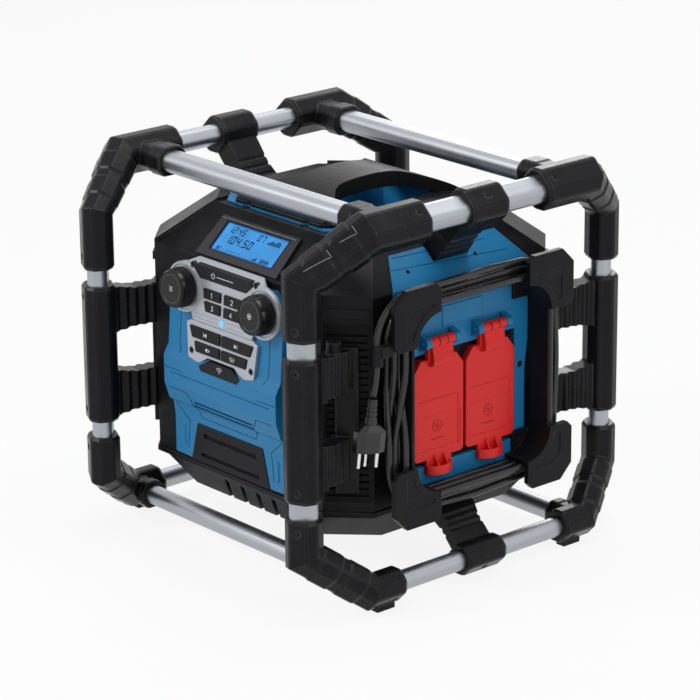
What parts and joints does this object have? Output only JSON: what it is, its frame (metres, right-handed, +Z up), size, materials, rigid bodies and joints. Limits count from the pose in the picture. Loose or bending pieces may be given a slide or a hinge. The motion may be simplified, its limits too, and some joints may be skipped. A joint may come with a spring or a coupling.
{
  "type": "jobsite radio",
  "caption": "Jobsite radio with corner speakers, a control face, covered mains outlets and a wound mains cord, hung on ribbed arms inside a roll cage of tubes.",
  "frame": {"origin": "on the floor, centred under the cage", "axes": "+Z up, -Y out of the control face, +X out of the outlet face"},
  "size_m": [0.4128, 0.4284, 0.3985],
  "materials": {
    "aluminium": "brushed",
    "cage_rubber": "satin",
    "black_plastic": "fine grain",
    "grille_black": "satin",
    "blue_plastic": "fine grain",
    "silver_plastic": "satin",
    "key_black": "matt",
    "knob_black": "satin",
    "red_plastic": "satin",
    "display": "lit",
    "lens": "lit",
    "steel": "brushed",
    "black_screws": "satin",
    "plug_metal": "polished",
    "cord_rubber": "satin"
  },
  "bodies": {
    "chassis": {"post_tubes": "aluminium", "side_rails": "aluminium", "cross_rails": "aluminium", "upper_corner_front_left": "cage_rubber", "upper_corner_front_right": "cage_rubber", "upper_corner_back_right": "cage_rubber", "upper_corner_back_left": "cage_rubber", "lower_corner_front_left": "cage_rubber", "lower_corner_front_right": "cage_rubber", "lower_corner_back_right": "cage_rubber", "lower_corner_back_left": "cage_rubber", "post_sleeve_front_left": "cage_rubber", "post_sleeve_front_right": "cage_rubber", "post_sleeve_back_right": "cage_rubber", "post_sleeve_back_left": "cage_rubber", "upper_bracket_left": "cage_rubber", "upper_bracket_right": "cage_rubber", "lower_bracket_left": "cage_rubber", "lower_bracket_right": "cage_rubber", "cage_screws": "black_screws", "housing": "black_plastic", "base": "black_plastic", "top_cover": "blue_plastic", "handle": "black_plastic", "front_panel": "blue_plastic", "lcd_bezel": "black_plastic", "lcd_screen": "display", "control_plate": "silver_plastic", "bass_cover": "black_plastic", "indicator_lens": "lens", "outlet_panel": "blue_plastic", "outlet_block": "black_plastic", "hinge_pins": "steel", "cord_guides": "black_plastic", "cord_winding": "cord_rubber", "mains_cord": "cord_rubber", "plug": "cord_rubber", "plug_pins": "plug_metal", "side_panel": "blue_plastic", "back_panel": "blue_plastic", "corner_grilles": "grille_black", "body_screws": "black_screws"},
    "menu_push": {"menu_spindle": "steel"},
    "menu_turn": {"menu_knob": "knob_black"},
    "source_push": {"source_spindle": "steel"},
    "source_turn": {"source_knob": "knob_black"},
    "cover_left": {"outlet_cover_left": "red_plastic"},
    "cover_right": {"outlet_cover_right": "red_plastic"},
    "media_door": {"media_door": "black_plastic"},
    "door_latch": {"door_latch": "red_plastic"},
    "power_key": {"power_button": "key_black"},
    "preset_1_key": {"preset_button_1": "key_black"},
    "preset_2_key": {"preset_button_2": "key_black"},
    "preset_3_key": {"preset_button_3": "key_black"},
    "preset_4_key": {"preset_button_4": "key_black"},
    "previous_key": {"previous_button": "key_black"},
    "next_key": {"next_button": "key_black"},
    "mute_key": {"mute_button": "key_black"},
    "equaliser_key": {"equaliser_button": "key_black"},
    "wireless_key": {"wireless_button": "key_black"}
  },
  "joints": [
    {"name": "menu_press", "type": "slide", "parent": "chassis", "child": "menu_push", "axis": [0, 0.9976, -0.0698], "range_m": [0, 0.001], "stiffness_N_per_m": 1500},
    {"name": "menu_turn", "type": "hinge", "parent": "menu_push", "child": "menu_turn", "pos_m": [-0.06, -0.16361, 0.27495], "axis": [0, 0.9976, -0.0698], "continuous": true},
    {"name": "source_press", "type": "slide", "parent": "chassis", "child": "source_push", "axis": [0, 0.9976, -0.0698], "range_m": [0, 0.001], "stiffness_N_per_m": 1500},
    {"name": "source_turn", "type": "hinge", "parent": "source_push", "child": "source_turn", "pos_m": [0.06, -0.16361, 0.27495], "axis": [0, 0.9976, -0.0698], "continuous": true},
    {"name": "power_press", "type": "slide", "parent": "chassis", "child": "power_key", "axis": [0, 0.9976, -0.0698], "range_m": [0, 0.0012], "stiffness_N_per_m": 800},
    {"name": "preset_1_press", "type": "slide", "parent": "chassis", "child": "preset_1_key", "axis": [0, 0.9976, -0.0698], "range_m": [0, 0.0012], "stiffness_N_per_m": 800},
    {"name": "preset_2_press", "type": "slide", "parent": "chassis", "child": "preset_2_key", "axis": [0, 0.9976, -0.0698], "range_m": [0, 0.0012], "stiffness_N_per_m": 800},
    {"name": "preset_3_press", "type": "slide", "parent": "chassis", "child": "preset_3_key", "axis": [0, 0.9976, -0.0698], "range_m": [0, 0.0012], "stiffness_N_per_m": 800},
    {"name": "preset_4_press", "type": "slide", "parent": "chassis", "child": "preset_4_key", "axis": [0, 0.9976, -0.0698], "range_m": [0, 0.0012], "stiffness_N_per_m": 800},
    {"name": "previous_press", "type": "slide", "parent": "chassis", "child": "previous_key", "axis": [0, 0.9976, -0.0698], "range_m": [0, 0.0012], "stiffness_N_per_m": 800},
    {"name": "next_press", "type": "slide", "parent": "chassis", "child": "next_key", "axis": [0, 0.9976, -0.0698], "range_m": [0, 0.0012], "stiffness_N_per_m": 800},
    {"name": "mute_press", "type": "slide", "parent": "chassis", "child": "mute_key", "axis": [0, 0.9976, -0.0698], "range_m": [0, 0.0012], "stiffness_N_per_m": 800},
    {"name": "equaliser_press", "type": "slide", "parent": "chassis", "child": "equaliser_key", "axis": [0, 0.9976, -0.0698], "range_m": [0, 0.0012], "stiffness_N_per_m": 800},
    {"name": "wireless_press", "type": "slide", "parent": "chassis", "child": "wireless_key", "axis": [0, 0.9976, -0.0698], "range_m": [0, 0.0012], "stiffness_N_per_m": 800},
    {"name": "cover_left_hinge", "type": "hinge", "parent": "chassis", "child": "cover_left", "pos_m": [0.17, -0.034, 0.247], "axis": [0, -1, 0], "range_deg": [0, 120], "stiffness_Nm_per_rad": 0.02, "springref_deg": -34.38},
    {"name": "cover_right_hinge", "type": "hinge", "parent": "chassis", "child": "cover_right", "pos_m": [0.17, 0.034, 0.247], "axis": [0, -1, 0], "range_deg": [0, 120], "stiffness_Nm_per_rad": 0.02, "springref_deg": -34.38},
    {"name": "media_door_hinge", "type": "hinge", "parent": "chassis", "child": "media_door", "pos_m": [0, 0.1524, 0.136], "axis": [-1, 0, 0], "range_deg": [0, 105]},
    {"name": "door_latch_turn", "type": "hinge", "parent": "media_door", "child": "door_latch", "pos_m": [0, 0.15, 0.216], "axis": [0, 1, 0], "range_deg": [0, 90]}
  ]
}
